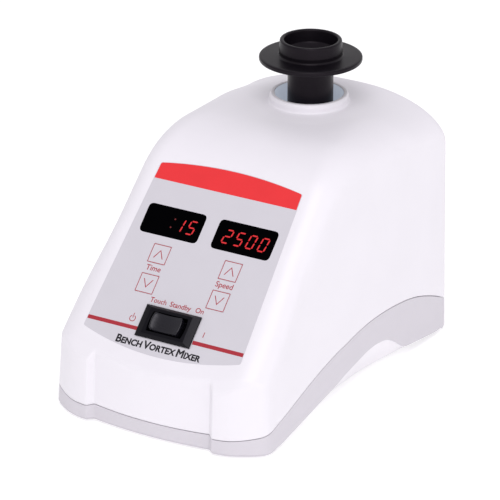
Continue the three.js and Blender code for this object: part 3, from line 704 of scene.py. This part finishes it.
def base_tray():
    bm = skin_mesh()
    trim(bm, parting, [-SEAM - row for row in LIP_ROWS], False)
    round_lip(bm, parting, -SEAM, LIP, False)
    trim(bm, tray_low, LIP_ROWS, True)
    layer = bm.verts.layers.int.new("start")
    edges = [e for e in bm.edges if len(e.link_faces) == 1
             and all(abs(v.co.z - float(tray_low(v.co.y))) < 1e-3 for v in e.verts)]
    starts = []
    for v in {v for e in edges for v in e.verts}:
        v[layer] = len(starts)
        starts.append((v.co.copy(), inward(v.co)))
    round_lip(bm, tray_low, 0, LIP, True)
    for i in range(1, SCOOP_STEPS + 1):
        made = bmesh.ops.extrude_edge_only(bm, edges=edges)["geom"]
        edges = [g for g in made if isinstance(g, bmesh.types.BMEdge) and len(g.link_faces) == 1]
        a = i / SCOOP_STEPS * math.pi / 2
        for v in [g for g in made if isinstance(g, bmesh.types.BMVert)]:
            at, inner = starts[v[layer]]
            share = scoop_share(at.y)
            taper = smooth((at.y - SCOOP_TAPER_FROM) / SCOOP_TAPER)
            depth = mix(SCOOP_SHALLOW, mix(SCOOP_FRONT, SCOOP_REAR, taper), share)
            inset = mix(depth * (1 - math.cos(a)), LIP + (depth - LIP) * math.sin(a), share)
            rise = mix(1 - math.sin(a), math.cos(a), share)
            v.co = at + inner * max(inset, LIP)
            v.co.z = PAD + (at.z - PAD) * rise
    bmesh.ops.edgeloop_fill(bm, edges=edges)
    bmesh.ops.recalc_face_normals(bm, faces=bm.faces)
    # Faces inside the scoop take the lighter copy of the base plastic: painted light for the
    # floor's bounce.
    for f in bm.faces:
        at = f.calc_center_median()
        reach = abs(at.x) + at.z * math.tan(DRAFT_NOSE)
        in_scoop = reach < HALF_WIDTH - PAINTED_LIT_DEPTH and at.z < arch(at.y) - 0.1
        f.material_index = int(PAINTED_LIT_FROM < at.y < PAINTED_LIT_TO and in_scoop)
    ob = solidified("visual_base_tray", bm, "housing")
    ob.data.materials.append(GRAY)
    ob.data.materials.append(GRAY_PAINTED_LIT)
    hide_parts("base_tray")


upper_housing()
base_tray()

# ---------------- control face

LABEL_HALF, LABEL_TAPER, LABEL_TOP, LABEL_LOW = 46.7, 0.0465, 90.1, -5.5
LABEL_ARCH, LABEL_BULGE, LABEL_CORNER = 4.0, 7.3, 1.4
FILM_UNDER, KEY_UNDER = -0.2, -1.6
SWITCH_HOLE_W, SWITCH_HOLE_H = 29, 14.4
DISPLAYS = {"time": (-21.5, 59.15), "speed": (21.4, 59.15)}
DISPLAY_W, DISPLAY_H, DISPLAY_CORNER = 34.9, 16.7, 2.9
BAND_LOW, BAND_CORNER, BAND_THICK = 81.1, 1.3, 0.03
LINE_LOW, LINE_HIGH, LINE_END = -1.55, 0.55, 16.5
WORDS = [("word_time", "Time", 4.3, -21.6, 32.7), ("word_speed", "Speed", 4.3, 20.9, 32.7),
         ("word_touch", "Touch", 3.8, -11.2, 16.3),
         ("word_standby", "Standby", 3.95, 1.9, 16.3), ("word_on", "On", 3.9, 13.4, 16.4)]


def half_at(v):
    return LABEL_HALF - LABEL_TAPER * v


def arc_row(half, v, lift, steps=40):
    """Points left to right on a shallow arc whose ends are at v and whose middle is lifted."""
    return [(t * half, v + lift * (1 - t * t)) for t in np.linspace(-1, 1, steps + 1)]


def label_outline():
    low = arc_row(half_at(LABEL_LOW), LABEL_LOW, -LABEL_BULGE)
    high = arc_row(half_at(LABEL_TOP), LABEL_TOP, LABEL_ARCH)[::-1]
    radii = [LABEL_CORNER] + [0] * (len(low) - 2) + [LABEL_CORNER]
    return rounded(low + high, radii + radii, 4, True)


def overlay():
    holes = [rounded_rectangle(DISPLAY_W, DISPLAY_H, DISPLAY_CORNER, u, v)
             for u, v in DISPLAYS.values()]
    holes += [rounded_rectangle(KEY_SIZE, KEY_SIZE, 0.35, u, v, 2) for u, v in KEYS.values()]
    holes.append(rounded_rectangle(SWITCH_HOLE_W, SWITCH_HOLE_H, 0.5, 0, ROCKER_V, 2))
    film = flat_shape("visual_front_label", [label_outline()] + holes, FILM_UNDER, FILM_TOP,
                      FILM_EDGE, "housing", FILM)
    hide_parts("front_label")


def red_band():
    top = arc_row(half_at(LABEL_TOP) - 0.35, LABEL_TOP - 0.1, LABEL_ARCH - 0.25)[::-1]
    half = half_at(BAND_LOW) - 0.3
    radii = [0, 0, BAND_CORNER] + [0] * (len(top) - 2) + [BAND_CORNER]
    band = rounded([(-half, BAND_LOW), (half, BAND_LOW)] + top, radii, 4, True)
    printed("red_band", [band], RED, thickness=BAND_THICK)


def red_line():
    """The thin line under the keys, on both sides of the switch."""
    end = half_at(0) - 0.25
    for side, (a, b) in {"left": (-end, -LINE_END), "right": (LINE_END, end)}.items():
        line = [(a, LINE_LOW), (b, LINE_LOW), (b, LINE_HIGH), (a, LINE_HIGH)]
        printed("red_line_" + side, [line], RED_FINE, thickness=BAND_THICK)


def square_frame(size, line, u, v):
    return [rounded_rectangle(size, size, 0.3, u, v, 2),
            rounded_rectangle(size - 2 * line, size - 2 * line, 0.15, u, v, 2)]


def chevron(u, v, up, half=2.9, rise=4.9, line=0.46, tip_depth=0.92):
    s = 1 if up else -1
    tip, foot = v + s * rise / 2, v - s * rise / 2
    slant = line * math.hypot(half, rise) / rise
    loop = [(u - half, foot), (u - half + slant, foot),
            (u, tip - s * slant * rise / half * tip_depth), (u + half - slant, foot),
            (u + half, foot), (u, tip)]
    return loop if up else loop[::-1]


def touch_key(name, u, v):
    body = name + "_key"
    cap = rounded_rectangle(KEY_SIZE - 0.12, KEY_SIZE - 0.12, 0.3, u, v, 2)
    pad = flat_shape("visual_key_" + name, [cap], KEY_UNDER, FILM_TOP, FILM_EDGE, body,
                     FILM)
    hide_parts("key_" + name)
    printed(f"key_{name}_outline", square_frame(KEY_SIZE - 0.4, 0.38, u, v), RED_FINE, body)
    printed(f"key_{name}_arrow", [chevron(u, v, name.endswith("up"))], RED_FINE, body)


def arc_band(radius, line, u, v, start, end, steps=30):
    """A band of constant width along an arc, the angles in degrees."""
    turns = np.radians(np.linspace(start, end, steps))
    edges = [[(u + r * math.cos(a), v + r * math.sin(a)) for a in turns]
             for r in (radius + line / 2, radius - line / 2)]
    return edges[0] + edges[1][::-1]


def stroke(u, low, high, line):
    return [(u - line / 2, low), (u + line / 2, low), (u + line / 2, high), (u - line / 2, high)]


def symbols():
    """The standby sign to the left of the switch and the I to its right."""
    ring = arc_band(1.6, 0.42, -21.5, 4.25, 118, 422)
    printed("symbol_standby", [ring, stroke(-21.5, 4.5, 7.2, 0.42)], RED_FINE)
    printed("symbol_on", [stroke(20.9, 3.3, 6.2, 0.45)], RED_FINE)


overlay()
red_band()
red_line()
for name, (u, v) in KEYS.items():
    touch_key(name, u, v)
for name, words, size, u, v in WORDS:
    text(name, words, size, u, v, RED_FINE, 0.05)
text("word_type", "Bench Vortex Mixer", 5.9, -0.9, -8.0, INK, 0.2, True)
symbols()

# ---------------- displays

LENS_TOP, LENS_UNDER, LENS_GAP = 0.07, -2.2, 0.05
SEGMENTS = {"a": ((0, 1), (1, 1)), "b": ((1, 1), (1, 0.5)), "c": ((1, 0.5), (1, 0)),
            "d": ((0, 0), (1, 0)), "e": ((0, 0.5), (0, 0)), "f": ((0, 1), (0, 0.5)),
            "g": ((0, 0.5), (1, 0.5))}
DIGITS = {"0": "abcdef", "1": "bc", "2": "abged", "5": "afgcd"}
DIGIT_W, DIGIT_H, DIGIT_PITCH, DIGIT_SLANT, DIGIT_LINE = 3.75, 7.3, 7.1, 0.16, 0.76
DIGIT_GAP, DIGIT_U, DIGIT_V = 0.22, 0.7, -0.4
DOT_RADIUS, DOT_V, DOT_APART = 0.45, -0.2, 2.4
READINGS = {"time": "  15", "speed": "2500"}


def segment(a, b):
    """A bar with pointed ends from a to b."""
    a, b = np.array(a, float), np.array(b, float)
    along = (b - a) / np.linalg.norm(b - a)
    across = np.array([-along[1], along[0]]) * DIGIT_LINE / 2
    a, b = a + along * DIGIT_GAP, b - along * DIGIT_GAP
    tip = along * DIGIT_LINE / 2
    corners = (a, a + tip - across, b - tip - across, b, b - tip + across, a + tip + across)
    return [tuple(p) for p in corners]


def digit_loops(character, u, v):
    loops = []
    for s in DIGITS[character]:
        loop = segment(*[((p[0] - 0.5) * DIGIT_W, (p[1] - 0.5) * DIGIT_H) for p in SEGMENTS[s]])
        loops.append([(u + x + y * DIGIT_SLANT, v + y) for x, y in loop])
    return loops


def disc_loop(radius, u, v, steps=20):
    return [(u + radius * math.cos(t), v + radius * math.sin(t))
            for t in np.linspace(0, 2 * math.pi, steps, endpoint=False)]


def lit(name, loops, material):
    return flat_shape(name, loops, LENS_TOP, LENS_TOP + 0.02, 0.003, "housing",
                      material)


def display(name, u, v):
    pane = rounded_rectangle(DISPLAY_W - 2 * LENS_GAP, DISPLAY_H - 2 * LENS_GAP,
                             DISPLAY_CORNER - LENS_GAP, u, v)
    lens = flat_shape("visual_display_lens_" + name, [pane], LENS_UNDER, LENS_TOP, 0.05,
                      "housing", WINDOW)
    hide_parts("display_lens_" + name)
    loops = []
    for i, character in enumerate(READINGS[name]):
        if character != " ":
            middle = u + DIGIT_U + (i - 1.5) * DIGIT_PITCH
            loops += digit_loops(character, middle, v + DIGIT_V)
    lit("lit_digits_" + name, loops, GLOW)


def colon(u, v):
    dots = [disc_loop(DOT_RADIUS, u + y * DIGIT_SLANT, v + DOT_V + y)
            for y in (DOT_APART, -DOT_APART)]
    lit("lit_colon_time", dots, GLOW_DIM)


for name, (u, v) in DISPLAYS.items():
    display(name, u, v)
colon(*DISPLAYS["time"])

# ---------------- rocker switch

WELL_DEPTH = -8


def loop_mesh(rings, close_ends=True):
    """A skin through rings of the same count, closed at its ends or joined end to end."""
    bm = bmesh.new()
    rows = [[bm.verts.new(p) for p in ring] for ring in rings]
    n = len(rows[0])
    pairs = list(zip(rows, rows[1:]))
    if close_ends:
        bm.faces.new(rows[0][::-1])
        bm.faces.new(rows[-1])
    else:
        pairs.append((rows[-1], rows[0]))
    for a, b in pairs:
        for i in range(n):
            j = (i + 1) % n
            bm.faces.new((a[i], a[j], b[j], b[i]))
    bmesh.ops.recalc_face_normals(bm, faces=bm.faces)
    return bm


def well_ring(half_u, half_v, bow, w, steps=12):
    """A loop round the middle of the switch at height w, whose two ends bow outward."""
    side = [(half_u + bow * (1 - t * t), half_v * t) for t in np.linspace(-1, 1, steps + 1)]
    ring = side + [(-u, -v) for u, v in side]
    return [(u, ROCKER_V + v, w) for u, v in ring]


def bezel_ring(inset_u, inset_v, w):
    """A rectangular loop at height w, set in from the bezel's outline."""
    return well_ring(ROCKER_W / 2 - inset_u, ROCKER_H / 2 - inset_v, 0, w)


def rocker_housing():
    """The bezel, from its foot on the overlay over the sloping rim and down into the well."""
    rings = [bezel_ring(0.3, 0.3, FILM_TOP + 0.02), bezel_ring(0.05, 0.05, 0.2),
             bezel_ring(0, 0, 0.4), bezel_ring(0, 0, 0.85), bezel_ring(0.18, 0.1, 1.02),
             bezel_ring(3.7, 1.7, 2.42), bezel_ring(4.05, 1.95, 2.5),
             well_ring(10.4, 5.6, 0.7, 2.5), well_ring(10.15, 5.4, 0.6, 2.25),
             well_ring(10.0, 5.35, 0.6, WELL_DEPTH), bezel_ring(1.9, 1.9, WELL_DEPTH),
             bezel_ring(1.9, 1.9, FILM_TOP + 0.02)]
    mesh = finish_mesh(loop_mesh(rings, False), "rocker_housing", MM, 20)
    ob = new_object("visual_rocker_housing", mesh, "housing", FACE)
    mesh.materials.append(BLACK)
    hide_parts("rocker_housing")


def rocker_paddle():
    """The paddle, level in its middle position: dished top, bowed ends and soft corners."""
    half_u, half_v, bow, soft, end = 8.1, 4.8, 0.7, 0.55, 0.09
    chamfer = 0.17
    ends = 1 - np.cos(np.linspace(0, math.pi / 2, 7))
    along = np.concatenate([-1 + end * ends[:-1], np.linspace(end - 1, 1 - end, 23),
                            1 - end * ends[-2::-1]])
    rings = []
    for t in along:
        near = float(quarter(max(0.0, (abs(t) - (1 - end)) / end)))
        top = PIVOT + 6.35 + 1.45 * t * t - soft * near
        low = PIVOT + 1.2 - 4.2 * (1 - t * t)
        wide = half_v - 0.9 * near
        loop = [(-wide + soft, top), (-wide + chamfer, top - chamfer), (-wide, top - soft),
                (-wide, low), (wide, low), (wide, top - soft), (wide - chamfer, top - chamfer),
                (wide - soft, top)]
        loop += [((wide - soft) * s, top) for s in (0.6, 0.3, 0, -0.3, -0.6)]
        rings.append([((half_u + bow * (1 - (v / half_v) ** 2)) * t, ROCKER_V + v, w)
                      for v, w in loop])
    mesh = finish_mesh(loop_mesh(rings), "rocker_paddle", MM, 40)
    ob = new_object("visual_rocker_paddle", mesh, "rocker", FACE)
    mesh.materials.append(PADDLE)
    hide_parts("rocker_paddle")


rocker_housing()
rocker_paddle()

# ---------------- cup head and motor mounts

# Each point of the cup's profile: radius, height, and the radius of the corner there.
CUP = [(0, 151.4, 0), (8.1, 151.4, 0.2), (8.1, 130.3, 0.3), (12.1, 130.3, 0.3),
       (12.1, 154.4, 2.0), (13.6, 156.3, 1.4), (25.8, 156.1, 0.3), (27.2, 156.4, 1.1),
       (27.2, 158.6, 1.2), (25.8, 158.8, 0.6), (16.5, 159.0, 1.6), (16.8, 161.8, 2.5),
       (16.3, 167.9, 1.6), (14.2, 167.9, 1.0), (14.0, 166.2, 0.5), (13.3, 161.2, 1.0),
       (12.0, 160.2, 2.0), (7, 157.0, 4.0), (0, 155.6, 0)]


def cup_head():
    profile = rounded([(r, z) for r, z, _ in CUP], [soft for _, _, soft in CUP], 6)
    mesh = finish_mesh(turned(profile, 128, PIN_X, PIN_Y), "cup_head")
    ob = new_object("visual_cup_head", mesh, "orbit_head")
    mesh.materials.append(RUBBER)
    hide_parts("cup_head")


def suspension_mount(node):
    """A waisted rubber mount, in its rest shape and fixed to the housing."""
    low, high = [np.array(corner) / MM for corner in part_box(node)]
    x, y = (low[:2] + high[:2]) / 2
    bottom, top = low[2] + 0.05, high[2] - 0.05
    height = top - bottom
    bore, wide, waist = 2.55, 4.95, 3.9
    profile = [(bore, bottom), (wide, bottom), (wide, bottom + 0.2 * height),
               (waist, bottom + 0.32 * height), (waist, bottom + 0.68 * height),
               (wide, bottom + 0.8 * height), (wide, top), (bore, top)]
    radii = [0, 0.4, 0.8, 0.8, 0.8, 0.8, 0.4, 0, 0]
    bm = turned(rounded(profile + profile[:1], radii, 4)[:-1], 40, x, y)
    ob = new_object("visual_" + node, finish_mesh(bm, node), "housing")
    ob.data.materials.append(RUBBER)
    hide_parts(node)
    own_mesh(ob)


cup_head()
for number in (1, 2, 3, 4):
    suspension_mount(f"suspension_spring_{number}")

# ---------------- stage, light and camera, in metres


def stage_floor():
    """Pale paper with a weak glow of its own, for an even white ground."""
    bm = bmesh.new()
    bmesh.ops.create_grid(bm, x_segments=8, y_segments=8, size=6)
    mesh = finish_mesh(bm, "floor", 1)
    floor = link(bpy.data.objects.new("floor", mesh))
    mesh.materials.append(surface("floor_paper", (0.75, 0.75, 0.75, 1), 0.9, 0.004, 200,
                                  specular=0.1, emission=((1, 1, 1, 1), 0.4)))


def area_light(name, size, power, at, toward, color=(1, 1, 1)):
    light = bpy.data.lights.new(name, "AREA")
    light.shape, light.size, light.energy, light.color = "DISK", size, power, color
    ob = link(bpy.data.objects.new(name, light))
    ob.location = at
    ob.rotation_euler = (Vector(toward) - Vector(at)).to_track_quat("-Z", "Y").to_euler()


def studio_world():
    """A white tent: bright near the horizon, dimmer overhead and on the left."""
    world = bpy.data.worlds.new("studio")
    bpy.context.scene.world = world
    world.use_nodes = True
    nodes, links = world.node_tree.nodes, world.node_tree.links
    coords = nodes.new("ShaderNodeTexCoord")
    split = nodes.new("ShaderNodeSeparateXYZ")
    ramp = nodes.new("ShaderNodeValToRGB")
    low, high = ramp.color_ramp.elements
    low.position, low.color = 0.05, (0.955, 0.94, 0.955, 1)
    high.position, high.color = 0.95, (0.76, 0.75, 0.785, 1)
    across = nodes.new("ShaderNodeMapRange")
    across.inputs["From Min"].default_value = -1
    across.inputs["To Min"].default_value = 0.8
    across.inputs["To Max"].default_value = 0.97
    links.new(coords.outputs["Generated"], split.inputs["Vector"])
    links.new(split.outputs["Z"], ramp.inputs["Fac"])
    links.new(split.outputs["X"], across.inputs["Value"])
    links.new(ramp.outputs["Color"], nodes["Background"].inputs["Color"])
    links.new(across.outputs["Result"], nodes["Background"].inputs["Strength"])


def camera():
    """A long lens above the front right corner, rolled by a fifth of a degree."""
    data = bpy.data.cameras.new("camera")
    data.sensor_width, data.lens = 36, 273.6
    data.clip_start, data.clip_end = 0.1, 30
    ob = link(bpy.data.objects.new("camera", data))
    at, toward = Vector((0.9400, -1.5686, 0.8456)), Vector((0.0499, -0.0888, 0.1096))
    turn = (toward - at).to_track_quat("-Z", "Y").to_matrix().to_4x4()
    roll = Matrix.Rotation(math.radians(0.2), 4, "Z")
    ob.matrix_world = Matrix.Translation(at) @ turn @ roll
    bpy.context.scene.camera = ob


stage_floor()
area_light("key_light", 1.5, 3.0, (1.4, -1.6, 0.62), (0, 0, 0.08), (1, 0.99, 0.985))
area_light("top_light", 1.2, 15.0, (0.5, -1.0, 1.75), (0, 0, 0.08), (1, 0.985, 0.99))
area_light("side_light", 1.4, 2.0, (1.95, -0.3, 0.45), (0, 0, 0.05), (1, 0.985, 0.985))
studio_world()
bpy.context.scene.view_settings.view_transform = "Standard"
bpy.context.scene.view_settings.look = "None"
camera()
